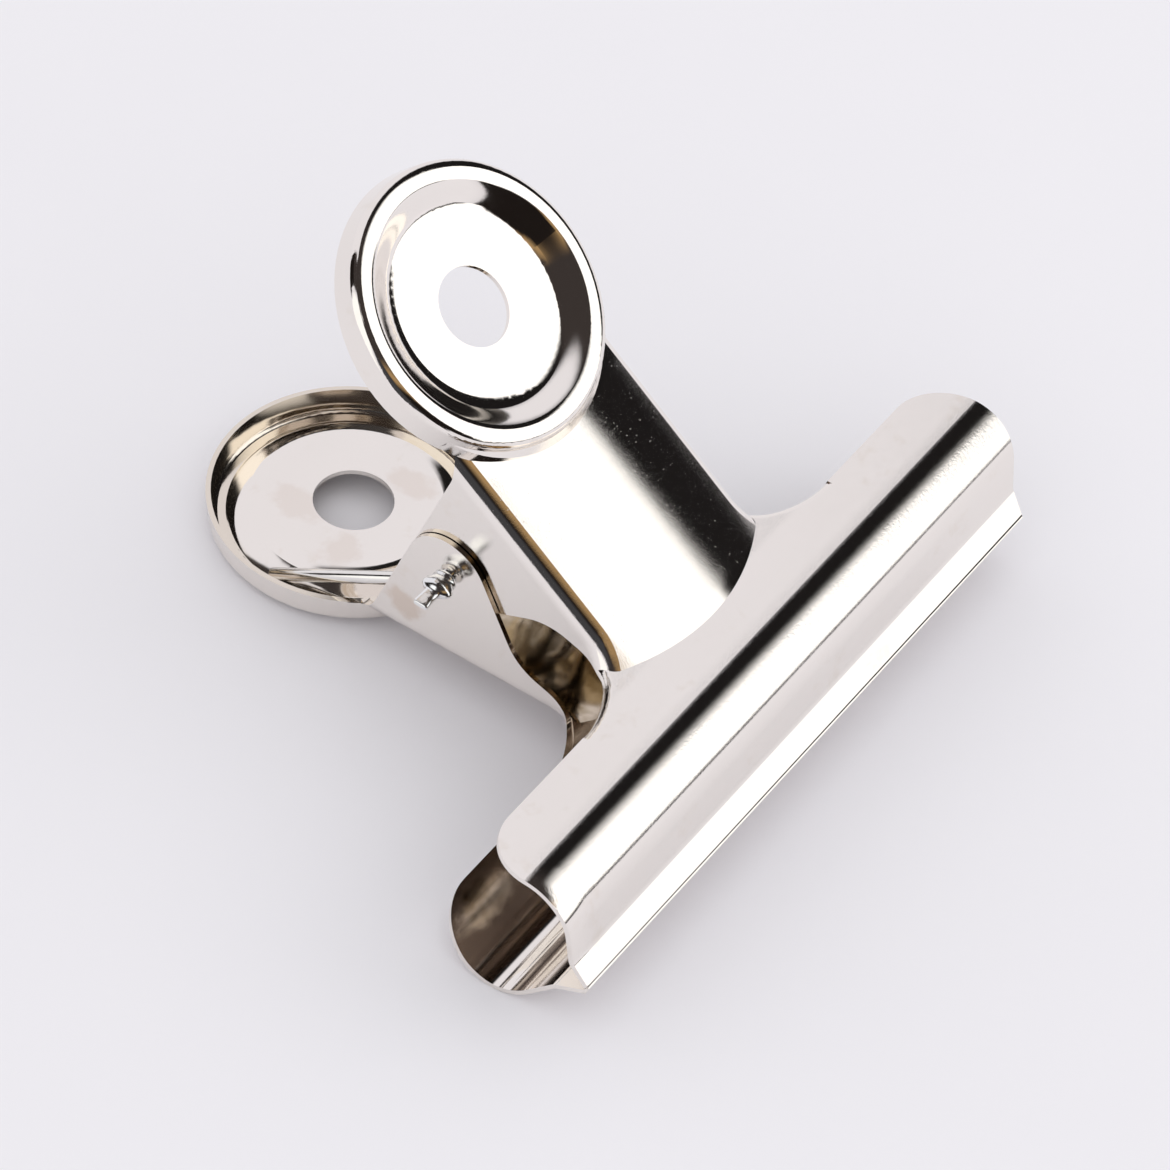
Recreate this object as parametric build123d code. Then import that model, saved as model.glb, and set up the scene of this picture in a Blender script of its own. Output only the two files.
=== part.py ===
from build123d import *
from math import asin, atan2, cos, degrees, hypot, pi, radians, sin, tan
import os

# Bulldog clip: two equal sheet-steel jaws on a wire axle, held shut by a torsion spring.
# The jaws are drawn closed, about their mid-plane: X along the axle, Y from the mouth (-Y) to the
# thumb discs (+Y), Z square to the mid-plane. At the end the clip is tilted to lie on a table.
# All sizes are in millimetres and degrees.

# Sheet
SHEET = 0.5
BEND_RADIUS = 1.9
HANDLE_SLOPE = 19.0

# Bar and lip, as (y, z) on the outer face
BAR_LENGTH = 75.4
BAR_OFFSET = 0.4
BAR_BACK = (-9.5, 5.8)
BAR_CREST = (-18.84, 9.11)
CREST_RADIUS = 5.25
LIP_CREASE = (-22.55, 2.13)
CREASE_RADIUS = 1.0
LIP_TIP = (-24.95, 0.43)
LIP_LENGTH = 73.4
TAPER_START = -18.5
BAR_CORNER = 5.4
TAPER_RADIUS = 20.0
LIP_CORNER = 0.8

# Thumb disc: place of its centre, and its section as (radius, height over the flat centre)
DISC_CENTRE = (23.86, 17.88)
HANG_HOLE_RADIUS = 3.9
FLAT_RADIUS = 9.28
RIDGE_INNER = (11.87, 1.62)
RIDGE_OUTER = (13.23, 1.62)
RIDGE_SIDE = (13.815, 1.07)
SKIRT_EDGE = (14.1, -1.5)
SLOPE_FILLET = 2.2
RIDGE_FILLET = 0.8
RIDGE_RADIUS = 0.9
COLLAR_SHIFT = 1.3
COLLAR_TOP = (12.2, 1.0)
COLLAR_FOOT = (13.3, 0.0)
COLLAR_EDGE = (13.45, -1.45)
COLLAR_INSIDE = 11.9
COLLAR_BORE = 13.4
COLLAR_SPAN = 130.0
NECK_CUT_RADIUS = 13.8

# Neck: arch, side walls and the flare where they run out into the bar
ARCH_RADIUS = 36.5
INNER_EAR_X = 11.4
OUTER_EAR_X = 12.0
FLARE_RADIUS = 5.2
FLARE_ANGLE = 60.0
FLARE_BEND = 0.9
GUSSET_RADIUS = 12.0
NECK_BACK = 19.0
NECK_FRONT = -14.0
FORM_BASE = -6.0
FORM_TOP = 30.0
WIDE = 300.0
OVERRUN = 1.0
BACK_OVERRUN = 3.0

# Ear outline, as (y, z) on the upper jaw
EAR_BACK = 14.9
EAR_TAB = -4.0
EAR_RUN = (8.8, 0.4)
EAR_HOLLOW = 3.75
EAR_TAIL = (-6.3, -7.1)
NOTCH_RADIUS = 4.0
TAB_RADIUS = 3.9
RUN_RADIUS = 5.0
HOLLOW_RADIUS = 6.0
TAIL_RADIUS = 1.6
EDGE_RADIUS = 0.3
EDGE_DEPTH = 0.58
SKIRT_DEPTH = 1.4

# Axle
PIVOT_Y = 10.3
PIN_RADIUS = 0.75
PIN_PLAY = 0.05
PINCH_START = 12.15
PINCH_LENGTH = 2.1
PINCH_WIDE = 1.3
PINCH_THIN = 0.5
STUB_RADIUS = 0.62
PIN_END = 15.5
PINCH_TURN = 35.0
PINCH_SIDES = 12

# Spring
WIRE_RADIUS = 0.65
WIRE_SIDES = 8
COIL_RADIUS = 3.0
COIL_HALF = 8.6
FULL_TURNS = 6
LEG_SLOPE = 44.6
LEG_LENGTH = 23.3
LEAST_GAP = 0.4


def toward(start, end):
    """Unit vector from start to end."""
    run = (end[0] - start[0], end[1] - start[1])
    size = hypot(*run)
    return run[0] / size, run[1] / size


def meet(p, u, q, v):
    """Point where the line through p along u meets the line through q along v."""
    cross = u[0] * v[1] - u[1] * v[0]
    k = ((q[0] - p[0]) * v[1] - (q[1] - p[1]) * v[0]) / cross
    return p[0] + k * u[0], p[1] + k * u[1]


def shifted(points, distance):
    """The same open outline, moved to its left by a distance."""
    runs = [toward(a, b) for a, b in zip(points, points[1:])]
    feet = [(p[0] - u[1] * distance, p[1] + u[0] * distance) for p, u in zip(points, runs)]
    corners = [meet(feet[i], runs[i], feet[i + 1], runs[i + 1]) for i in range(len(runs) - 1)]
    last = (points[-1][0] - runs[-1][1] * distance, points[-1][1] + runs[-1][0] * distance)
    return [feet[0], *corners, last]


def lengthened(points, first, last):
    """An open outline made longer at its two ends."""
    u = toward(points[1], points[0])
    v = toward(points[-2], points[-1])
    start = (points[0][0] + u[0] * first, points[0][1] + u[1] * first)
    end = (points[-1][0] + v[0] * last, points[-1][1] + v[1] * last)
    return [start, *points[1:-1], end]


def bend(start, corner, end, radius):
    """Arc that rounds a corner."""
    u = toward(corner, start)
    v = toward(corner, end)
    middle = toward((0, 0), (u[0] + v[0], u[1] + v[1]))
    depth = hypot(hypot(start[0] - corner[0], start[1] - corner[1]), radius) - radius
    return ThreePointArc(start, (corner[0] + middle[0] * depth, corner[1] + middle[1] * depth), end)


def pressed(start, corner, end, radius):
    """Smooth curve that follows the arc of a radius round a corner, as a pressed sheet does."""
    reach = hypot(start[0] - corner[0], start[1] - corner[1])
    pull = 4 / 3 * tan(atan2(reach, radius) / 2) * radius / reach
    first = (start[0] + (corner[0] - start[0]) * pull, start[1] + (corner[1] - start[1]) * pull)
    second = (end[0] + (corner[0] - end[0]) * pull, end[1] + (corner[1] - end[1]) * pull)
    return Bezier(start, first, second, end)


def rounded(points, radii, curve=bend):
    """Edges of an open outline whose inner corners have the given radii."""
    edges = []
    here = points[0]
    for corner, before, after, radius in zip(points[1:-1], points, points[2:], radii):
        u = toward(corner, before)
        v = toward(corner, after)
        half = 0.5 * abs(atan2(u[0] * v[1] - u[1] * v[0], u[0] * v[0] + u[1] * v[1]))
        reach = radius / tan(half)
        start = (corner[0] + u[0] * reach, corner[1] + u[1] * reach)
        end = (corner[0] + v[0] * reach, corner[1] + v[1] * reach)
        edges += [Line(here, start), curve(start, corner, end, radius)]
        here = end
    return [*edges, Line(here, points[-1])]


def closed(edges, *points):
    """Face bounded by a chain of edges and the straight way back through the points."""
    way = [edges[-1] @ 1, *points, edges[0] @ 0]
    return make_face([*edges, *[Line(a, b) for a, b in zip(way, way[1:])]])


def across(face, start, end):
    """Solid from a face drawn in (y, z), run along X from start to end."""
    side = Plane(origin=(start, 0, 0), x_dir=(0, 1, 0), z_dir=(1, 0, 0))
    return extrude(side * face, end - start)


def upright(face):
    """Solid from a plan face, through the whole height of the jaw."""
    return extrude(Pos(0, 0, FORM_BASE) * face, FORM_TOP - FORM_BASE)


slope = radians(HANDLE_SLOPE)
along = Vector(0, cos(slope), sin(slope))
outward = Vector(0, -sin(slope), cos(slope))
centre = Vector(0, *DISC_CENTRE)
disc_plane = Plane(origin=centre, x_dir=(1, 0, 0), z_dir=outward)
bar_points = [BAR_BACK, BAR_CREST, LIP_CREASE, LIP_TIP]
disc_points = [(HANG_HOLE_RADIUS, 0), (FLAT_RADIUS, 0), RIDGE_INNER, RIDGE_OUTER, RIDGE_SIDE, SKIRT_EDGE]
disc_radii = [SLOPE_FILLET, RIDGE_FILLET, RIDGE_RADIUS, RIDGE_RADIUS]
flare_turn = radians(FLARE_ANGLE)
gusset_drop = GUSSET_RADIUS * (1 - sin(flare_turn))
flare_start = BAR_BACK[0] + gusset_drop + FLARE_RADIUS * sin(flare_turn)


def flare(side, wall, inset):
    """Plan points of a side wall's run-out: two arcs from the straight wall to the bar's back edge."""
    hub = (wall + FLARE_RADIUS, flare_start)
    far_hub = (hub[0] + (GUSSET_RADIUS - FLARE_RADIUS) * cos(flare_turn), BAR_BACK[0] + GUSSET_RADIUS)
    turns = [0.0, flare_turn / 2, flare_turn, (flare_turn + pi / 2) / 2, pi / 2]
    hubs = [hub, hub, hub, far_hub, far_hub]
    radii = [FLARE_RADIUS + inset] * 3 + [GUSSET_RADIUS + inset] * 2
    return [(side * (h[0] - r * cos(a)), h[1] - r * sin(a)) for a, h, r in zip(turns, hubs, radii)]


def neck_plan(inset, back):
    """Plan of the neck with both flares, drawn in by a distance, from a back line into the bar."""
    left = flare(-1, INNER_EAR_X, inset)
    right = flare(1, OUTER_EAR_X, inset)
    rim = [ThreePointArc(*way[i : i + 3]) for way in (left, right) for i in (0, 2)]
    corners = [left[4], (left[4][0], NECK_FRONT), (right[4][0], NECK_FRONT), right[4]]
    if back > flare_start:
        ring = [left[0], (left[0][0], back), (right[0][0], back), right[0]]
    else:
        ring = [left[0], right[0]]
    rim += [Line(a, b) for way in (corners, ring) for a, b in zip(way, way[1:])]
    return make_face(rim)


def bent(block, radius):
    """The block with its top edges rounded along the side walls and flares."""
    def runs_along_side(edge):
        middle = edge @ 0.5
        ends = [edge @ 0, edge @ 1]
        level = min(p.Z for p in ends) > FORM_BASE + OVERRUN
        sideways = abs(middle.X) > INNER_EAR_X - 2 * SHEET
        lengthwise = abs(ends[0].Y - ends[1].Y) > 2 * OVERRUN
        behind = max(p.Y for p in ends) > flare_start - SHEET
        return level and sideways and lengthwise and behind
    return fillet(block.edges().filter_by(runs_along_side), radius)


def neck_form(inset):
    """Solid under the arched neck, drawn in by a distance."""
    back = NECK_BACK if inset == 0 else NECK_BACK + OVERRUN
    arch = Cylinder(ARCH_RADIUS - inset, WIDE)
    axle = Plane(origin=centre - outward * ARCH_RADIUS, x_dir=(1, 0, 0), z_dir=along)
    return bent(upright(neck_plan(inset, back)) & axle * arch, BEND_RADIUS - inset)


def bar_section(inset):
    """Section under the bar's outer face, drawn in by a distance, with its foot on the form's base."""
    radii = [CREST_RADIUS - inset, CREASE_RADIUS + inset]
    points = lengthened(shifted(bar_points, inset), BACK_OVERRUN, 0)
    if inset:
        points = lengthened(points, 0, OVERRUN)
        return closed(rounded(points, radii), (points[-1][0], FORM_BASE), (points[0][0], FORM_BASE))
    inner_tip = shifted(bar_points, SHEET)[-1]
    foot = [inner_tip, (inner_tip[0], FORM_BASE), (points[0][0], FORM_BASE)]
    return closed(rounded(points, radii), *foot)


def bar_plan():
    """Plan of the bar: rounded back corners, ends that draw in a little to the lip, room for the flares."""
    lip = LIP_LENGTH / 2
    front = LIP_TIP[0] - SHEET
    halves = []
    for offset in (BAR_OFFSET, -BAR_OFFSET):
        end = BAR_LENGTH / 2 + offset
        corners = [(0, BAR_BACK[0]), (end, BAR_BACK[0]), (end, TAPER_START), (lip, front), (0, front)]
        halves.append(closed(rounded(corners, [BAR_CORNER, TAPER_RADIUS, LIP_CORNER])))
    left_end = flare(-1, INNER_EAR_X, 0)[4][0]
    right_end = flare(1, OUTER_EAR_X, 0)[4][0]
    room = Pos((left_end + right_end) / 2, BAR_BACK[0]) * Rectangle(right_end - left_end, 4 * FLARE_BEND)
    return halves[0] + mirror(halves[1], Plane.YZ) - room


def flare_form(inset):
    """Solid that carries the bar's back slope out between the two flares."""
    reach = flare_start - BAR_BACK[0] + 2 * OVERRUN
    points = lengthened(shifted(bar_points[:2], inset), reach, 0)
    section = make_face(Polyline(*points, (points[1][0], FORM_BASE), (points[0][0], FORM_BASE), close=True))
    block = upright(neck_plan(inset, flare_start)) & across(section, -WIDE, WIDE)
    return bent(block, FLARE_BEND - inset)


def jaw_form(inset):
    """Solid under a jaw's neck and bar, drawn in by a distance; open at the bar's free edges."""
    half = BAR_LENGTH / 2 + BAR_OFFSET + inset * OVERRUN / SHEET
    bar = across(bar_section(inset), -half, half)
    if inset == 0:
        return (bar & upright(bar_plan())) + neck_form(0) + flare_form(0)
    ends = []
    for side, wall in ((-1, INNER_EAR_X), (1, OUTER_EAR_X)):
        start = abs(flare(side, wall, 0)[4][0])
        width = half - start
        ends.append(Pos(side * (start + width / 2), BAR_BACK[0], 0) * Box(width, 2 * BACK_OVERRUN, WIDE))
    middle = Pos(0, BAR_BACK[0] - SHEET - WIDE / 2, 0) * Box(WIDE, WIDE, WIDE)
    return (bar & (middle + ends[0] + ends[1])) + neck_form(inset) + flare_form(inset)


def ear_trim():
    """What is cut away under the neck: the S-shaped ears, the flares' edges and the disc's underside."""
    skirt = centre - outward * SKIRT_DEPTH
    skirt_line = ((skirt.Y, skirt.Z), (along.Y, along.Z))
    notch = meet(*skirt_line, (EAR_BACK, 0), (0, 1))
    far = meet(*skirt_line, (2 * NECK_BACK, 0), (0, 1))
    under_bar = shifted(bar_points[:2], EDGE_DEPTH)
    bar_line = (under_bar[0], toward(*under_bar))
    tail = meet(*bar_line, (EAR_TAIL[1], 0), (0, 1))
    front = meet(*bar_line, (NECK_FRONT + OVERRUN, 0), (0, 1))
    outline = [
        far,
        notch,
        (EAR_BACK, EAR_TAB),
        (EAR_RUN[0], EAR_TAB),
        (EAR_RUN[1], EAR_HOLLOW),
        (EAR_TAIL[0], EAR_HOLLOW),
        tail,
        front,
    ]
    radii = [NOTCH_RADIUS, TAB_RADIUS, RUN_RADIUS, HOLLOW_RADIUS, TAIL_RADIUS, EDGE_RADIUS]
    base = FORM_BASE - OVERRUN
    reach = abs(flare(1, OUTER_EAR_X, 0)[4][0]) + OVERRUN
    return across(closed(rounded(outline, radii), (front[0], base), (far[0], base)), -reach, reach)


def disc():
    """Thumb disc: flat centre with the hang hole, raised ridge, and skirt turned toward the other jaw.
    Over the neck a collar, set a little off centre, leans out from the skirt."""
    outer = rounded(disc_points, disc_radii, pressed)
    inside_radii = [disc_radii[0] + SHEET, *[r - SHEET for r in disc_radii[1:]]]
    inner = rounded(shifted(disc_points, -SHEET), inside_radii, pressed)
    caps = [Line(outer[0] @ 0, inner[0] @ 0), Line(outer[-1] @ 1, inner[-1] @ 1)]
    plate = revolve(Plane.XZ * make_face([*outer, *inner, *caps]), Axis.Z)
    inside = [(COLLAR_INSIDE, COLLAR_EDGE[1]), (COLLAR_INSIDE, COLLAR_FOOT[1])]
    section = make_face(Polyline(COLLAR_TOP, COLLAR_FOOT, COLLAR_EDGE, *inside, close=True))
    collar = Rot(0, 0, -90 - COLLAR_SPAN / 2) * revolve(Plane.XZ * section, Axis.Z, COLLAR_SPAN)
    collar = Pos(0, -COLLAR_SHIFT, 0) * collar - Cylinder(COLLAR_BORE, 4 * COLLAR_TOP[1])
    return disc_plane * (plate + collar)


def jaw():
    """One stamped jaw, as the upper one."""
    sheet = jaw_form(0) - jaw_form(SHEET)
    sheet -= disc_plane * Cylinder(NECK_CUT_RADIUS, 4 * BEND_RADIUS)
    sheet -= ear_trim()
    body = sheet + disc()
    bore = Pos(0, PIVOT_Y, 0) * Rot(0, 90, 0) * Cylinder(PIN_RADIUS + PIN_PLAY, WIDE)
    return body - bore


def flattened(wide, thin, height):
    """Many-sided oval at a height."""
    turns = [2 * pi * i / PINCH_SIDES for i in range(PINCH_SIDES)]
    rim = [(wide * cos(a), thin * sin(a)) for a in turns]
    return Pos(0, 0, height) * make_face(Polyline(*rim, close=True))


def hinge_pin():
    """Wire axle, pinched flat outside the ears, with a short stub beyond each pinch."""
    pin = Rot(0, 90, 0) * Cylinder(PIN_RADIUS, 2 * PINCH_START)
    for side in (-1, 1):
        end = Plane(origin=(side * PINCH_START, 0, 0), x_dir=(0, 1, 0), z_dir=(side, 0, 0))
        sections = [
            flattened(PIN_RADIUS, PIN_RADIUS, 0),
            flattened(PINCH_WIDE, PINCH_THIN, PINCH_LENGTH / 2),
            flattened(STUB_RADIUS, STUB_RADIUS, PINCH_LENGTH),
        ]
        stub_length = PIN_END - PINCH_START - PINCH_LENGTH
        stub = Pos(0, 0, PINCH_LENGTH + stub_length / 2) * Cylinder(STUB_RADIUS, stub_length)
        pin += end * Rot(0, 0, PINCH_TURN) * (loft(sections, ruled=True) + stub)
    return Pos(0, PIVOT_Y, 0) * pin


def coil_at(turned, turn_rise):
    """Point and unit tangent of the coil after it has turned through an angle from the lower leg."""
    angle = radians(-90 - LEG_SLOPE) - turned
    y = COIL_RADIUS * cos(angle)
    z = COIL_RADIUS * sin(angle)
    point = Vector(-COIL_HALF + turn_rise * turned, PIVOT_Y + y, z)
    return point, Vector(turn_rise, z, -y).normalized()


def biarc(p, u, q, v):
    """Two arcs that leave p along u, meet smoothly and reach q along v."""
    chord = q - p
    total = u + v
    bend = 2 * (1 - u.dot(v))
    lean = chord.dot(total)
    reach = (-lean + (lean**2 + bend * chord.dot(chord)) ** 0.5) / bend
    joint = (p + q + (u - v) * reach) * 0.5
    turn = (joint - p - u * reach).normalized()
    return [TangentArc(p, joint, tangent=u), TangentArc(joint, q, tangent=turn)]


def spring_path():
    """Centre line of the spring: lower leg, coil, upper leg."""
    turned = 2 * pi * FULL_TURNS + radians(180 - 2 * LEG_SLOPE)
    turn_rise = 2 * COIL_HALF / turned
    steps = round(turned / pi)
    stations = [coil_at(turned * i / steps, turn_rise) for i in range(steps + 1)]
    first, first_way = stations[0]
    last, last_way = stations[-1]
    edges = [Line(first - first_way * LEG_LENGTH, first)]
    for (p, u), (q, v) in zip(stations, stations[1:]):
        edges += biarc(p, u, q, v)
    return [*edges, Line(last, last + last_way * LEG_LENGTH)]


def least_gap(edges):
    """Smallest clear space between stretches of the wire that are over half a turn apart."""
    points = []
    travel = []
    walked = 0.0
    for edge in edges:
        count = max(4, round(edge.length / WIRE_RADIUS))
        points += [edge @ (i / count) for i in range(count)]
        travel += [walked + edge.length * i / count for i in range(count)]
        walked += edge.length
    apart = pi * COIL_RADIUS
    pairs = [(a, b) for a in range(len(points)) for b in range(a) if travel[a] - travel[b] > apart]
    return min((points[a] - points[b]).length for a, b in pairs) - 2 * WIRE_RADIUS


def torsion_spring():
    """Spring wire: one unbroken tube along its centre line."""
    edges = spring_path()
    gap = least_gap(edges)
    print(f"torsion_spring: least gap to itself {gap:.2f} mm (over {LEAST_GAP} mm)")
    section = Plane(origin=edges[0] @ 0, z_dir=edges[0] % 0) * RegularPolygon(WIRE_RADIUS, WIRE_SIDES)
    return sweep(section, path=Wire(edges))


def resting_tilt():
    """Angle that lays the lower disc's ridge and the lower bar's crest on one table."""
    ridge = shifted(disc_points, -RIDGE_RADIUS)[3]
    rim = centre + along * ridge[0] + outward * ridge[1]
    crest = shifted(bar_points, CREST_RADIUS)[1]
    run = (rim.Y - crest[0], rim.Z - crest[1])
    return degrees(atan2(run[1], run[0]) + asin((RIDGE_RADIUS - CREST_RADIUS) / hypot(*run)))


def clip():
    """The pieces of the clip by name, lying on the table with the origin under their middle."""
    stamped = jaw()
    pieces = {
        "lower_jaw": Rot(0, 180, 0) * stamped,
        "upper_jaw": stamped,
        "hinge_pin": hinge_pin(),
        "torsion_spring": torsion_spring(),
    }
    tilted = {name: Rot(resting_tilt(), 0, 0) * piece for name, piece in pieces.items()}
    box = Compound(children=[Part() + piece for piece in tilted.values()]).bounding_box()
    ground = Pos(0, -box.center().Y, -box.min.Z)
    return {name: ground * piece for name, piece in tilted.items()}


def main():
    os.makedirs("parts", exist_ok=True)
    for name, piece in clip().items():
        piece.label = name
        export_step(piece, f"parts/{name}.step")


if __name__ == "__main__":
    main()
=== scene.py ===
from math import copysign, cos, pi, radians, sin

import bmesh
import bpy
from mathutils import Euler, Matrix, Vector


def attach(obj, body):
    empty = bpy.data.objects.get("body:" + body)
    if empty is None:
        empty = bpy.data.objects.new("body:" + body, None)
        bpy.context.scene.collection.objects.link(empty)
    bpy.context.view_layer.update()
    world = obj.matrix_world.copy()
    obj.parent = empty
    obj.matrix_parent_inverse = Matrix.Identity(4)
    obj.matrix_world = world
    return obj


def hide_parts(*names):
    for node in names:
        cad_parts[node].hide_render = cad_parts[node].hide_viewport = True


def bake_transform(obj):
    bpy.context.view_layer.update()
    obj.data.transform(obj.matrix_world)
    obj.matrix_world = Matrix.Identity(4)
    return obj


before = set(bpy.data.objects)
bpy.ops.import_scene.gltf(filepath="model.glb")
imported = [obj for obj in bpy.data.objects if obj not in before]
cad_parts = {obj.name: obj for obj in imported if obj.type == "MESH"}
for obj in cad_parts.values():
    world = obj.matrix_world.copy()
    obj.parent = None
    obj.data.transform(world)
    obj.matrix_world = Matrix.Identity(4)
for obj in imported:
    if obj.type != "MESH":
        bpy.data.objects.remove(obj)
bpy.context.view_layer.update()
scene = bpy.context.scene
MM = 0.001

# Camera, in the row frame: place in millimetres, and the picture's right and down directions
CAMERA_PLACE = (-406.904, -222.152, 524.350)
PICTURE_RIGHT = (0.562907, -0.820190, 0.102096)
PICTURE_DOWN = (-0.579756, -0.479862, -0.658495)
LENS = 228.126
SENSOR = 36.0
CLIP_END = 10.0

# Backdrop colour, as the floor shows it where no shadow lies, and the floor's own two shades
PALE = (0.871, 0.855, 0.896, 1.0)
PAPER_DARK = (0.865, 0.849, 0.891, 1.0)
PAPER_LIGHT = (0.879, 0.863, 0.903, 1.0)
PAPER_CLOUD = 40.0
FLOOR_HALF = 3.0

# In this file an edge is a pair: the value at which a zone begins and the value at which it is full

# Studio seen by the metal: a soft box in front, whose sides are planes through the object
KEY_RIGHT_HIGH = (-0.712, -0.540, 0.449)
KEY_RIGHT_LOW = (-0.620, -0.780, 0.020)
KEY_RIGHT_EDGE = (-0.02, 0.05)
KEY_LEFT = (0.974, -0.125, -0.186)
KEY_LEFT_EDGE = (-0.02, 0.06)
KEY_TOP = (0.18, -0.98, -0.085)
KEY_TOP_EDGE = (-0.02, 0.42)
KEY_FOOT_EDGE = (0.02, 0.09)
KEY_COLOUR = (1.35, 1.35, 1.34, 1.0)

# A pale wall behind and low on one side, a strip that cuts it, and a bright window beyond the strip
WALL_BACK = (-0.185, 0.95, -0.27)
WALL_BACK_EDGE = (-0.04, 0.04)
LOW_SIDE = (0.8, 0.6, 0.0)
LOW_SIDE_EDGE = (-0.1, 0.3)
LOW_TOP_EDGE = (0.16, 0.04)
STRIP_LEFT_EDGE = (-0.53, -0.47)
STRIP_RIGHT_EDGE = (-0.12, -0.18)
WINDOW_RIGHT_EDGE = (-0.53, -0.59)
WINDOW_FRONT_EDGE = (0.0, 0.1)
WINDOW_COLOUR = (1.15, 1.15, 1.14, 1.0)

# Dark surroundings: a ceiling, a black side, a brown side that ends in slate, and a golden band
CEILING = (0.046, 0.038, 0.036, 1.0)
BLACK = (0.012, 0.011, 0.011, 1.0)
BLACK_EDGE = (0.0, 0.5)
BROWN = (0.013, 0.010, 0.009, 1.0)
BROWN_SIDE_EDGE = (0.0, -0.12)
BROWN_TOP_EDGE = (0.75, 0.55)
SLATE = (0.055, 0.055, 0.06, 1.0)
SLATE_EDGE = (-0.6, -0.8)
BAND = (-0.198, -0.677, -0.709)
BAND_EDGE = (0.17, 0.0)
BAND_LEFT_EDGE = (-0.64, -0.46)
BAND_RIGHT_EDGE = (0.2, 0.05)
BAND_COLOUR = (0.42, 0.27, 0.125, 1.0)

# Even white light on matt surfaces
WHITE = (1.0, 1.0, 1.0, 1.0)
AMBIENT = 0.955

# Key lamp: one large soft panel, for the shadow
LAMP_WAY = (0.52, -0.66, 0.54)
LAMP_FAR = 0.65
LAMP_SIZE = 0.42
LAMP_WATTS = 0.3

# Closed clip's own frame, and sizes in it, as in the CAD part: millimetres and degrees
TILT = 16.623165
ORIGIN = (0.0, -9.048827, 12.460234)
LOWER_SPIN = 180.0
PIVOT_Y = 10.3
HANDLE_SLOPE = 19.0
DISC_CENTRE = (0.0, 23.86, 17.88)
SLOPE_FOOT = 9.3
SLOPE_TOP = 12.1

# Spring
WIRE_RADIUS = 0.65
COIL_RADIUS = 3.0
COIL_HALF = 8.6
FULL_TURNS = 6
LEG_SLOPE = 44.6
LEG_LENGTH = 23.3
RINGS_PER_TURN = 48
WIRE_SIDES = 20
END_ROUND = 0.12

# Axle: stations from the ear outward, as (x, half width, half thickness, depth of the grooves beside its
# rib, roundness of its sides)
PIN_SIDES = 36
PIN_TURN = -15.0
RIB_POWER = 3
PIN_STATIONS = [
    (11.2, 0.75, 0.75, 0.0, 1.0),
    (12.02, 0.75, 0.75, 0.0, 1.0),
    (12.08, 0.62, 0.62, 0.0, 1.0),
    (12.3, 0.62, 0.62, 0.0, 1.0),
    (12.36, 0.98, 0.95, 0.0, 1.0),
    (12.5, 1.2, 1.12, 0.0, 1.0),
    (12.78, 1.22, 1.1, 0.0, 1.0),
    (12.95, 1.06, 0.96, 0.0, 1.0),
    (13.1, 1.24, 0.95, 0.12, 1.0),
    (13.4, 1.52, 0.97, 0.25, 1.0),
    (13.8, 1.6, 0.94, 0.3, 1.0),
    (14.15, 1.48, 0.85, 0.3, 1.0),
    (14.4, 1.18, 0.7, 0.25, 0.9),
    (14.54, 0.85, 0.54, 0.1, 0.6),
    (14.7, 0.7, 0.42, 0.0, 0.4),
    (15.6, 0.72, 0.34, 0.0, 0.3),
    (16.4, 0.76, 0.26, 0.0, 0.3),
    (16.6, 0.66, 0.2, 0.0, 0.3),
]

# Plated sheet: zones along the jaw's own y, in millimetres
NECK_END = 11.0
DISC_BEGIN = 15.0
SHADED_INSIDE_FRONT_EDGE = (-16.2, -15.4)
SHADE_EDGE = (-7.0, -10.0)
NECK_FRONT_EDGE = (-9.5, -8.5)
NECK_BACK_EDGE = (13.0, 11.5)
CREST_BACK_EDGE = (-13.0, -14.5)
CREST_FRONT_EDGE = (-19.8, -18.8)
RIPPLE_EDGE = (-16.2, -17.0)
DROOP_EDGE = (-8.5, -9.5)
BURR_EDGE = (-24.62, -24.92)

# Plated sheet: where along x the bar's end starts to droop, width of the disc's rim, and the outer face,
# told by the way a face looks, with the side of an ear taken from its x
DROOP_START = -33.9
RIM_WIDTH = 0.7
EAR_SIDE = 6.0
OUTER_EDGE = (-0.2, 0.2)

# Plated sheet: grain of its noises, as scale for each millimetre, detail and, where given, roughness
TINT_GRAIN = (0.12, 3.0)
TARNISH_GRAIN = (0.26, 4.0, 0.6)
BLOT_GRAIN = (0.6, 3.0)
INSIDE_REFLECTION_GRAIN = (0.22, 3.0)
WAVE_GRAIN = (0.5, 1.0)
RIPPLE_GRAIN = (3.0, 2.0)
SPECK_GRAIN = (12.0, 1.0)
DENT_GRAIN = (5.0, 0.0)
POLISH_GRAIN = (0.9, 4.0, 0.65)

# Plated sheet: colours, their shares, and where in their noises they begin
TINT_DARK = (0.885, 0.84, 0.79, 1.0)
TINT_LIGHT = (0.915, 0.87, 0.825, 1.0)
TARNISH = (0.72, 0.62, 0.5, 1.0)
TARNISH_EDGE = (0.58, 0.75)
TARNISH_SHARE = 0.2
STAIN = (0.7, 0.57, 0.47, 1.0)
RIM_TINT = (0.80, 0.73, 0.64, 1.0)
# Painted shade on the jaw's inner faces, marbled with painted reflections, and deeper painted shade on the
# inside of the bar's back slope
INSIDE_SHADE_DARK = (0.34, 0.265, 0.17, 1.0)
INSIDE_REFLECTION_LIGHT = (0.66, 0.57, 0.46, 1.0)
INSIDE_REFLECTION_EDGE = (0.42, 0.62)
SHADE_TINT = (0.23, 0.175, 0.14, 1.0)
# Share of the painted shade left in the middle of a painted glow
SHADE_LEFT_IN_GLOW = 0.25
BLOT_EDGE = (1.0, 0.5)
BLOT_RAGGED = 0.5

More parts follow.
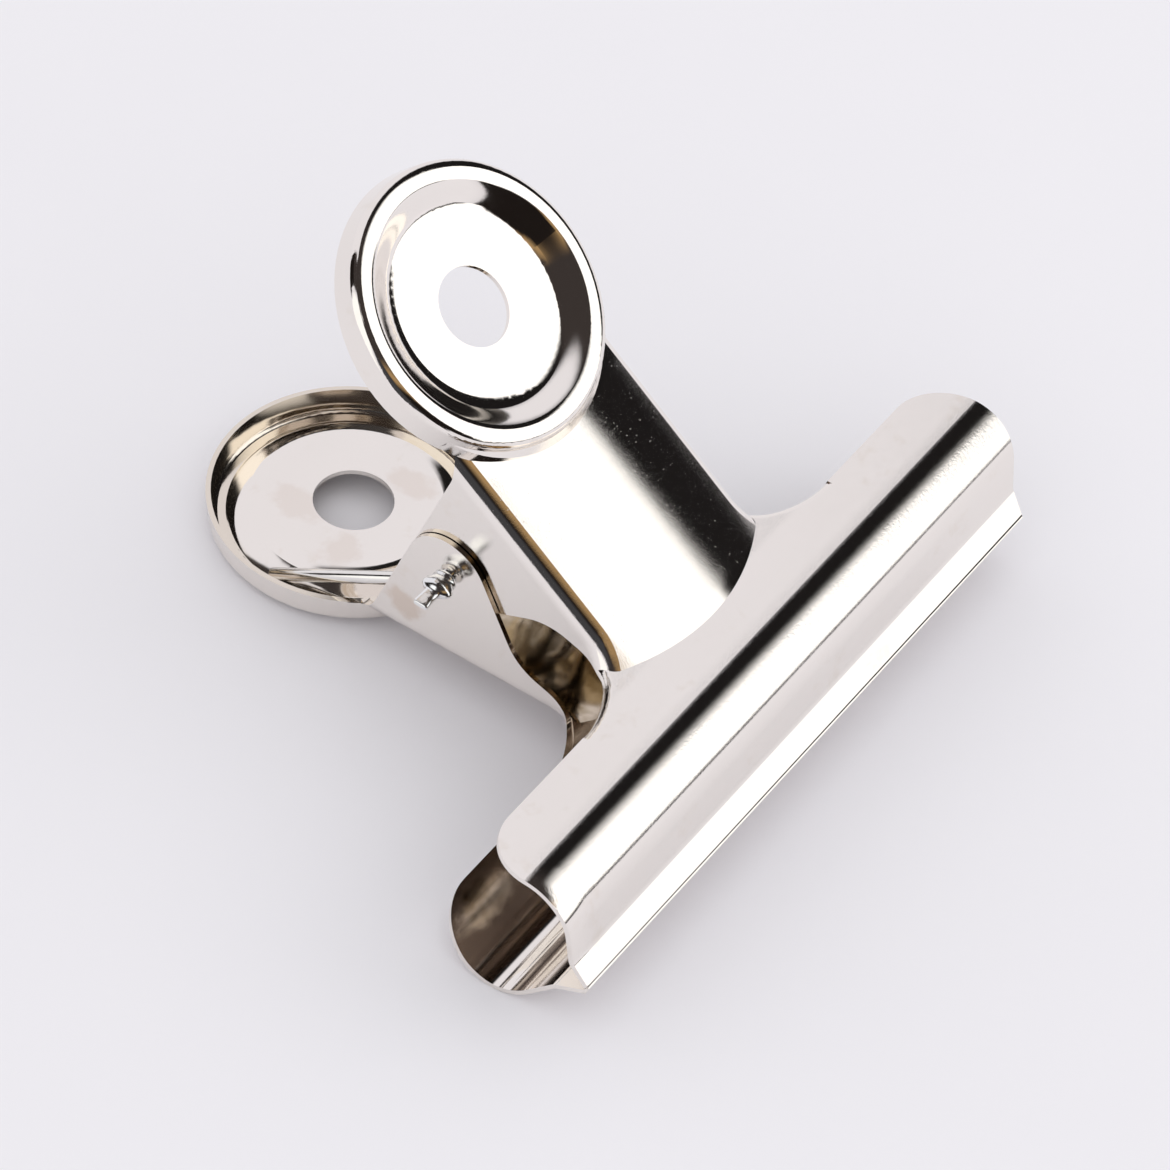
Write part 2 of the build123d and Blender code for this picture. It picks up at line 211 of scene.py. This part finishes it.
# Plated sheet: heights of its bump in millimetres. The droop grows with the square of the distance, and
# the dents lie where their noise is high
SLOPE_SWELL = 0.24
GROOVE_SWELL = 0.35
DROOP = 0.045
WAVE_HIGH = 0.003
RIPPLE_HIGH = 0.011
SPECK_LOW = 0.001
SPECK_HIGH = 0.005
DENT_EDGE = (0.78, 0.88)
DENT_DEEP = 0.005
BURR_HIGH = 0.2

# Plated sheet: roughness
POLISH_FINE = 0.05
POLISH_COARSE = 0.085
SHADE_BLUR = 0.16
RIM_BLUR = 0.04

# Lower jaw's stains, as (place, size, depth), and its painted glow, an oval of lighter painted shade, as
# (place, size), in its own frame
STAINS = [
    ((3.5, 27.7, 19.2), (2.4, 3.4, 9.0), 0.24),
    ((-5.2, 21.1, 17.0), (2.0, 3.0, 9.0), 0.28),
    ((5.9, 21.3, 17.0), (3.0, 2.2, 9.0), 0.26),
    ((12.0, 12.4, 7.9), (2.0, 2.8, 2.1), 0.6),
]
PAINTED_GLOWS = [((32.5, -12.1, 6.2), (5.4, 2.1, 4.0))]

# Axle wire: grain for each metre, colours, relief in metres, and roughness
AXLE_CLOUD_GRAIN = (700.0, 3.0)
AXLE_MARK_GRAIN = (2400.0, 3.0, 0.6)
AXLE_DARK = (0.84, 0.845, 0.84, 1.0)
AXLE_LIGHT = (0.93, 0.93, 0.92, 1.0)
AXLE_RELIEF = 1.5e-5
AXLE_FINE = 0.08
AXLE_COARSE = 0.2

# Spring wire: grain for each metre, colours, relief in metres, and roughness
SPRING_CLOUD_GRAIN = (500.0, 3.0)
SPRING_LINE_GRAIN = (6000.0, 2.0)
SPRING_DARK = (0.80, 0.78, 0.74, 1.0)
SPRING_LIGHT = (0.92, 0.90, 0.87, 1.0)
SPRING_RELIEF = 1.2e-6
SPRING_FINE = 0.08
SPRING_COARSE = 0.16

# Colour sockets of the mix node, by place
MIX_A = 6
MIX_B = 7
MIX_RESULT = 2


def link(obj):
    """Puts a new object in the scene."""
    scene.collection.objects.link(obj)
    return obj


class Graph:
    """Short ways to add nodes to one node tree."""

    def __init__(self, tree):
        self.tree = tree
        tree.nodes.clear()

    def add(self, kind, inputs=None, **settings):
        node = self.tree.nodes.new(kind)
        for key, value in settings.items():
            setattr(node, key, value)
        for key, value in (inputs or {}).items():
            if isinstance(value, bpy.types.NodeSocket):
                self.tree.links.new(value, node.inputs[key])
            else:
                node.inputs[key].default_value = value
        return node

    def math(self, operation, a, b=0.0):
        return self.add("ShaderNodeMath", {0: a, 1: b}, operation=operation).outputs[0]

    def total(self, first, *others):
        for other in others:
            first = self.math("ADD", first, other)
        return first

    def product(self, first, *others):
        for other in others:
            first = self.math("MULTIPLY", first, other)
        return first

    def split(self, vector):
        return self.add("ShaderNodeSeparateXYZ", {0: vector}).outputs

    def dot(self, a, b):
        return self.add("ShaderNodeVectorMath", {0: a, 1: b}, operation="DOT_PRODUCT").outputs["Value"]

    def step(self, value, low, high):
        """Smooth change from 0 at low to 1 at high, which may be the smaller of the two."""
        inputs = {"Value": value, "From Min": low, "From Max": high}
        return self.add("ShaderNodeMapRange", inputs, interpolation_type="SMOOTHSTEP").outputs["Result"]

    def without(self, mask):
        """1 where the mask is 0, and 0 where it is 1."""
        return self.step(mask, 1.0, 0.0)

    def fit(self, value, low, high):
        """Value from 0..1 moved to low..high."""
        inputs = {"Value": value, "To Min": low, "To Max": high}
        return self.add("ShaderNodeMapRange", inputs).outputs["Result"]

    def mix(self, factor, a, b):
        inputs = {"Factor": factor, MIX_A: a, MIX_B: b}
        return self.add("ShaderNodeMix", inputs, data_type="RGBA").outputs[MIX_RESULT]

    def noise(self, where, scale, detail=2.0, rough=0.5):
        inputs = {"Vector": where, "Scale": scale, "Detail": detail, "Roughness": rough}
        return self.add("ShaderNodeTexNoise", inputs).outputs["Fac"]

    def metal(self, colour, roughness, height, relief):
        """Metal surface of the material, where a height of 1 stands for the relief in metres."""
        bump = self.add("ShaderNodeBump", {"Height": height, "Distance": relief, "Strength": 1.0}).outputs[0]
        inputs = {"Base Color": colour, "Metallic": 1.0, "Roughness": roughness, "Normal": bump}
        surface = self.add("ShaderNodeBsdfPrincipled", inputs).outputs[0]
        self.add("ShaderNodeOutputMaterial", {"Surface": surface})


def build_world():
    """Backdrop to the camera, even white to matt surfaces, and to metal a studio of soft zones."""
    world = bpy.data.worlds.new("studio")
    scene.world = world
    world.use_nodes = True
    world.cycles.sampling_method = "NONE"
    g = Graph(world.node_tree)
    way = g.add("ShaderNodeTexCoord").outputs["Generated"]
    x, y, z = g.split(way)

    high = g.step(g.dot(way, KEY_RIGHT_HIGH), *KEY_RIGHT_EDGE)
    right = g.math("MAXIMUM", high, g.step(g.dot(way, KEY_RIGHT_LOW), *KEY_RIGHT_EDGE))
    left = g.step(g.dot(way, KEY_LEFT), *KEY_LEFT_EDGE)
    top = g.step(g.dot(way, KEY_TOP), *KEY_TOP_EDGE)
    key = g.product(right, left, top, g.step(z, *KEY_FOOT_EDGE))

    back = g.step(g.dot(way, WALL_BACK), *WALL_BACK_EDGE)
    low = g.product(g.step(z, *LOW_TOP_EDGE), g.step(g.dot(way, LOW_SIDE), *LOW_SIDE_EDGE))
    strip = g.product(g.step(x, *STRIP_LEFT_EDGE), g.step(x, *STRIP_RIGHT_EDGE))
    wall = g.product(g.math("MAXIMUM", back, low), g.without(strip))
    window = g.product(g.step(x, *WINDOW_RIGHT_EDGE), g.step(y, *WINDOW_FRONT_EDGE))

    dark = g.mix(g.step(x, *BLACK_EDGE), CEILING, BLACK)
    brown = g.product(g.step(x, *BROWN_SIDE_EDGE), g.step(z, *BROWN_TOP_EDGE))
    dark = g.mix(brown, dark, g.mix(g.step(x, *SLATE_EDGE), BROWN, SLATE))
    band = g.step(g.math("ABSOLUTE", g.dot(way, BAND)), *BAND_EDGE)
    band = g.product(band, g.step(x, *BAND_LEFT_EDGE), g.step(x, *BAND_RIGHT_EDGE))
    seen = g.mix(key, g.mix(wall, g.mix(band, dark, BAND_COLOUR), PALE), KEY_COLOUR)
    seen = g.mix(window, seen, WINDOW_COLOUR)

    ambient = g.add("ShaderNodeBackground", {"Color": WHITE, "Strength": AMBIENT}).outputs[0]
    studio = g.add("ShaderNodeBackground", {"Color": seen}).outputs[0]
    backdrop = g.add("ShaderNodeBackground", {"Color": PALE}).outputs[0]
    rays = g.add("ShaderNodeLightPath").outputs
    lit = g.add("ShaderNodeMixShader", {0: rays["Is Glossy Ray"], 1: ambient, 2: studio}).outputs[0]
    shown = g.add("ShaderNodeMixShader", {0: rays["Is Camera Ray"], 1: lit, 2: backdrop}).outputs[0]
    g.add("ShaderNodeOutputWorld", {"Surface": shown})


def build_camera():
    """The photograph's camera."""
    right = Vector(PICTURE_RIGHT).normalized()
    up = -Vector(PICTURE_DOWN).normalized()
    back = right.cross(up)
    data = bpy.data.cameras.new("camera")
    data.lens = LENS
    data.sensor_width = SENSOR
    data.clip_end = CLIP_END
    camera = link(bpy.data.objects.new("camera", data))
    turn = Matrix((right, up, back)).transposed().to_4x4()
    camera.matrix_world = Matrix.Translation(Vector(CAMERA_PLACE) * MM) @ turn
    scene.camera = camera


def build_lamp():
    """Large soft panel in front on the right; the metal sees the studio's soft box instead."""
    data = bpy.data.lights.new("key", "AREA")
    data.size = LAMP_SIZE
    data.energy = LAMP_WATTS
    lamp = link(bpy.data.objects.new("key", data))
    way = Vector(LAMP_WAY).normalized()
    lamp.location = way * LAMP_FAR
    lamp.rotation_euler = way.to_track_quat("Z", "Y").to_euler()
    lamp.visible_glossy = False


def new_material(name):
    """An empty material and the graph of its nodes."""
    material = bpy.data.materials.new(name)
    material.use_nodes = True
    return material, Graph(material.node_tree)


def build_floor():
    """Pale table top, very slightly mottled."""
    mesh = bpy.data.meshes.new("floor")
    corners = [(-1, -1), (1, -1), (1, 1), (-1, 1)]
    mesh.from_pydata([(x * FLOOR_HALF, y * FLOOR_HALF, 0.0) for x, y in corners], [], [(0, 1, 2, 3)])
    floor = link(bpy.data.objects.new("floor", mesh))
    material, g = new_material("paper")
    where = g.add("ShaderNodeTexCoord").outputs["Object"]
    colour = g.mix(g.noise(where, PAPER_CLOUD), PAPER_DARK, PAPER_LIGHT)
    paper = g.add("ShaderNodeBsdfDiffuse", {"Color": colour}).outputs[0]
    g.add("ShaderNodeOutputMaterial", {"Surface": paper})
    mesh.materials.append(material)


def jaw_turn(spin):
    """Rotation from the row frame to a jaw's own frame; the lower jaw is the upper one spun half a turn."""
    return Euler((radians(-TILT), radians(spin), 0.0), "XYZ")


def blot(g, where, place, size):
    """Soft ragged patch: 1 in its middle, 0 outside."""
    shrink = [1 / s for s in size]
    move = [-p / s for p, s in zip(place, size)]
    inside = g.add("ShaderNodeMapping", {"Vector": where, "Location": move, "Scale": shrink}).outputs[0]
    far = g.add("ShaderNodeVectorMath", {0: inside}, operation="LENGTH").outputs["Value"]
    ragged = g.math("ADD", far, g.fit(g.noise(where, *BLOT_GRAIN), -BLOT_RAGGED, BLOT_RAGGED))
    return g.step(ragged, *BLOT_EDGE)


def outer_face(g, facing, x):
    """1 on the faces that look out of the jaw, 0 on those that look into it."""
    face_x, _, face_z = g.split(facing)
    spread = {"Value": x, "From Min": -EAR_SIDE, "From Max": EAR_SIDE, "To Min": -1.0}
    side = g.add("ShaderNodeMapRange", spread).outputs["Result"]
    return g.step(g.math("ADD", face_z, g.math("MULTIPLY", face_x, side)), *OUTER_EDGE)


def disc_radius(g, where):
    """Distance from the disc's axis."""
    tilt = radians(HANDLE_SLOPE)
    from_disc = g.add("ShaderNodeVectorMath", {0: where, 1: DISC_CENTRE}, operation="SUBTRACT").outputs[0]
    over = g.dot(from_disc, (0.0, -sin(tilt), cos(tilt)))
    reach = g.math("SUBTRACT", g.dot(from_disc, from_disc), g.math("MULTIPLY", over, over))
    return g.math("SQRT", reach)


def outer_relief(g, where, swell):
    """Height of the outer face: disc's slope, drooping bar end, waves, ripples, specks, dents and burr."""
    x, y, _ = g.split(where)
    beyond = g.math("MAXIMUM", g.math("SUBTRACT", DROOP_START, x), 0.0)
    droop = g.product(beyond, beyond, g.step(y, *DROOP_EDGE))
    pressed = g.math("SUBTRACT", g.math("MULTIPLY", swell, SLOPE_SWELL), g.math("MULTIPLY", droop, DROOP))
    on_neck = g.product(g.step(y, *NECK_FRONT_EDGE), g.step(y, *NECK_BACK_EDGE))
    on_crest = g.product(g.step(y, *CREST_BACK_EDGE), g.step(y, *CREST_FRONT_EDGE))
    ripples = g.product(g.noise(where, *RIPPLE_GRAIN), on_crest, g.step(y, *RIPPLE_EDGE), RIPPLE_HIGH)
    waves = g.math("MULTIPLY", g.noise(where, *WAVE_GRAIN), WAVE_HIGH)
    speck_height = g.fit(g.math("MAXIMUM", on_neck, on_crest), SPECK_LOW, SPECK_HIGH)
    specks = g.math("MULTIPLY", g.noise(where, *SPECK_GRAIN), speck_height)
    dents = g.product(g.step(g.noise(where, *DENT_GRAIN), *DENT_EDGE), on_neck, DENT_DEEP)
    burr = g.math("MULTIPLY", g.step(y, *BURR_EDGE), BURR_HIGH)
    return g.math("SUBTRACT", g.total(waves, ripples, specks, pressed, burr), dents)


def plated(name, spin, stains, glows):
    """Bright nickel on pressed sheet: cloudy tint, tarnish, stains, soft relief, and painted shade with
    painted reflections and a painted glow on the inner faces.
    """
    material, g = new_material(name)
    source = g.add("ShaderNodeTexCoord").outputs
    turn = jaw_turn(spin)
    placing = {
        "Vector": source["Object"],
        "Location": -(turn.to_matrix() @ Vector(ORIGIN)),
        "Rotation": turn,
        "Scale": (1 / MM, 1 / MM, 1 / MM),
    }
    where = g.add("ShaderNodeMapping", placing).outputs[0]
    turning = {"Vector": source["Normal"], "Rotation": turn}
    facing = g.add("ShaderNodeMapping", turning, vector_type="VECTOR").outputs[0]
    x, y, _ = g.split(where)

    # Zones: outer and inner faces, painted shade inside the throat, deeper painted shade on the bar with a
    # painted glow, and the disc's slope and rim
    outer = outer_face(g, facing, x)
    inner = g.without(outer)
    # Painted shade: the inner faces from the bar's front to the disc
    shaded_inside = g.product(inner, g.step(y, DISC_BEGIN, NECK_END), g.step(y, *SHADED_INSIDE_FRONT_EDGE))
    shade = g.product(shaded_inside, g.step(y, *SHADE_EDGE))
    # Painted glow: an oval where the painted shade is lighter
    for place, size in glows:
        shade = g.product(shade, g.fit(blot(g, where, place, size), 1.0, SHADE_LEFT_IN_GLOW))
    radius = disc_radius(g, where)
    swell = g.step(radius, SLOPE_FOOT, SLOPE_TOP)
    on_rim = g.step(radius, SLOPE_TOP - RIM_WIDTH, SLOPE_TOP)
    rim = g.product(inner, on_rim, g.step(y, NECK_END, DISC_BEGIN))

    # Colour: cloud, tarnish, stains, and painted shade with painted reflections on the inner faces
    tint = g.mix(g.noise(where, *TINT_GRAIN), TINT_DARK, TINT_LIGHT)
    tarnish = g.step(g.noise(where, *TARNISH_GRAIN), *TARNISH_EDGE)
    colour = g.mix(g.math("MULTIPLY", tarnish, TARNISH_SHARE), tint, TARNISH)
    for place, size, depth in stains:
        colour = g.mix(g.math("MULTIPLY", blot(g, where, place, size), depth), colour, STAIN)
    colour = g.mix(rim, colour, RIM_TINT)
    # Painted shade inside the jaw, marbled by noise with painted reflections
    painted_reflections = g.step(g.noise(where, *INSIDE_REFLECTION_GRAIN), *INSIDE_REFLECTION_EDGE)
    colour = g.mix(shaded_inside, colour, g.mix(painted_reflections, INSIDE_SHADE_DARK, INSIDE_REFLECTION_LIGHT))
    # Deeper painted shade on the inside of the bar's back slope
    colour = g.mix(shade, colour, SHADE_TINT)

    # Form and polish
    skin = g.math("MULTIPLY", outer_relief(g, where, swell), outer)
    height = g.math("ADD", skin, g.product(swell, inner, GROOVE_SWELL))
    polish = g.fit(g.noise(where, *POLISH_GRAIN), POLISH_FINE, POLISH_COARSE)
    roughness = g.total(polish, g.math("MULTIPLY", shade, SHADE_BLUR), g.math("MULTIPLY", rim, RIM_BLUR))
    g.metal(colour, roughness, height, MM)
    return material


def axle_metal(name):
    """Plated wire with tool marks from pinching."""
    material, g = new_material(name)
    where = g.add("ShaderNodeTexCoord").outputs["Object"]
    colour = g.mix(g.noise(where, *AXLE_CLOUD_GRAIN), AXLE_DARK, AXLE_LIGHT)
    marks = g.noise(where, *AXLE_MARK_GRAIN)
    g.metal(colour, g.fit(marks, AXLE_FINE, AXLE_COARSE), marks, AXLE_RELIEF)
    return material


def drawn_wire(name):
    """Drawn spring wire: cloudy colour and a very fine grain."""
    material, g = new_material(name)
    where = g.add("ShaderNodeTexCoord").outputs["Object"]
    colour = g.mix(g.noise(where, *SPRING_CLOUD_GRAIN), SPRING_DARK, SPRING_LIGHT)
    grain = g.noise(where, *SPRING_LINE_GRAIN)
    g.metal(colour, g.fit(grain, SPRING_FINE, SPRING_COARSE), grain, SPRING_RELIEF)
    return material


def to_row(point):
    """From the closed clip's own frame, in millimetres, to the row frame in metres."""
    return (Matrix.Rotation(radians(TILT), 3, "X") @ Vector(point) + Vector(ORIGIN)) * MM


def coil_point(turned, rise):
    """Coil's centre line after it has turned through an angle from the lower leg, and its direction."""
    angle = radians(-90 - LEG_SLOPE) - turned
    y = COIL_RADIUS * cos(angle)
    z = COIL_RADIUS * sin(angle)
    return Vector((-COIL_HALF + rise * turned, PIVOT_Y + y, z)), Vector((rise, z, -y)).normalized()


def spring_line():
    """Points and directions of the wire's centre line, from the lower leg's end to the upper leg's end."""
    turned = 2 * pi * FULL_TURNS + radians(180 - 2 * LEG_SLOPE)
    rise = 2 * COIL_HALF / turned
    count = round(turned / (2 * pi) * RINGS_PER_TURN)
    line = [coil_point(turned * i / count, rise) for i in range(count + 1)]
    first, first_way = line[0]
    last, last_way = line[-1]
    lower = [(first - first_way * k, first_way) for k in (LEG_LENGTH, LEG_LENGTH / 2)]
    upper = [(last + last_way * k, last_way) for k in (LEG_LENGTH / 2, LEG_LENGTH)]
    return [*lower, *line, *upper]


def tube(name, loops, material):
    """Smooth closed skin over rings of points given in the clip's own frame."""
    mesh = bmesh.new()
    rings = [[mesh.verts.new(to_row(p)) for p in loop] for loop in loops]
    sides = len(loops[0])
    for a, b in zip(rings, rings[1:]):
        for k in range(sides):
            n = (k + 1) % sides
            mesh.faces.new((a[k], a[n], b[n], b[k])).smooth = True
    mesh.faces.new(list(reversed(rings[0])))
    mesh.faces.new(rings[-1])
    data = bpy.data.meshes.new(name)
    mesh.to_mesh(data)
    mesh.free()
    data.materials.append(material)
    return link(bpy.data.objects.new(name, data))


def pin_ring(x, wide, thin, groove, roundness):
    """Section of the axle: an oval with a rib along its middle and a groove on each side of it."""
    ring = []
    turn = radians(PIN_TURN)
    for k in range(PIN_SIDES):
        a = 2 * pi * k / PIN_SIDES
        across = wide * cos(a)
        rib = 1 - groove * (1 - abs(sin(a)) ** RIB_POWER)
        up = thin * copysign(abs(sin(a)) ** roundness, sin(a)) * rib
        y = PIVOT_Y + across * cos(turn) - up * sin(turn)
        z = across * sin(turn) + up * cos(turn)
        ring.append(Vector((x, y, z)))
    return ring


def build_pin(material):
    """Wire axle with its two ends pinched into wings and a flat tongue."""
    loops = [pin_ring(-x, *section) for x, *section in reversed(PIN_STATIONS)]
    loops += [pin_ring(x, *section) for x, *section in PIN_STATIONS]
    pin = tube("axle_form", loops, material)
    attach(pin, "lower")
    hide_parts("hinge_pin")


def build_spring(material):
    """One unbroken wire with slightly rounded, sheared ends."""
    line = spring_line()
    start, start_way = line[0]
    end, end_way = line[-1]
    cap = END_ROUND * WIRE_RADIUS
    rings = [(start, start_way, WIRE_RADIUS - cap), (start + start_way * cap, start_way, WIRE_RADIUS)]
    rings += [(point, way, WIRE_RADIUS) for point, way in line[1:-1]]
    rings += [(end - end_way * cap, end_way, WIRE_RADIUS), (end, end_way, WIRE_RADIUS - cap)]
    turns = [2 * pi * k / WIRE_SIDES for k in range(WIRE_SIDES)]
    loops = []
    side = Vector((1, 0, 0))
    for point, way, radius in rings:
        side = (side - way * side.dot(way)).normalized()
        over = way.cross(side)
        loops.append([point + (side * cos(a) + over * sin(a)) * radius for a in turns])
    spring = tube("spring_wire_form", loops, material)
    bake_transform(spring)
    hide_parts("torsion_spring")


def main():
    """Sets up the studio, dresses the jaws, and puts in the axle and the spring."""
    scene.view_settings.view_transform = "Standard"
    build_world()
    build_camera()
    build_lamp()
    build_floor()
    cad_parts["upper_jaw"].data.materials[0] = plated("upper_plate_look", 0.0, [], [])
    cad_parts["lower_jaw"].data.materials[0] = plated("lower_plate_look", LOWER_SPIN, STAINS, PAINTED_GLOWS)
    build_pin(axle_metal("axle_wire_look"))
    build_spring(drawn_wire("spring_wire_look"))


main()
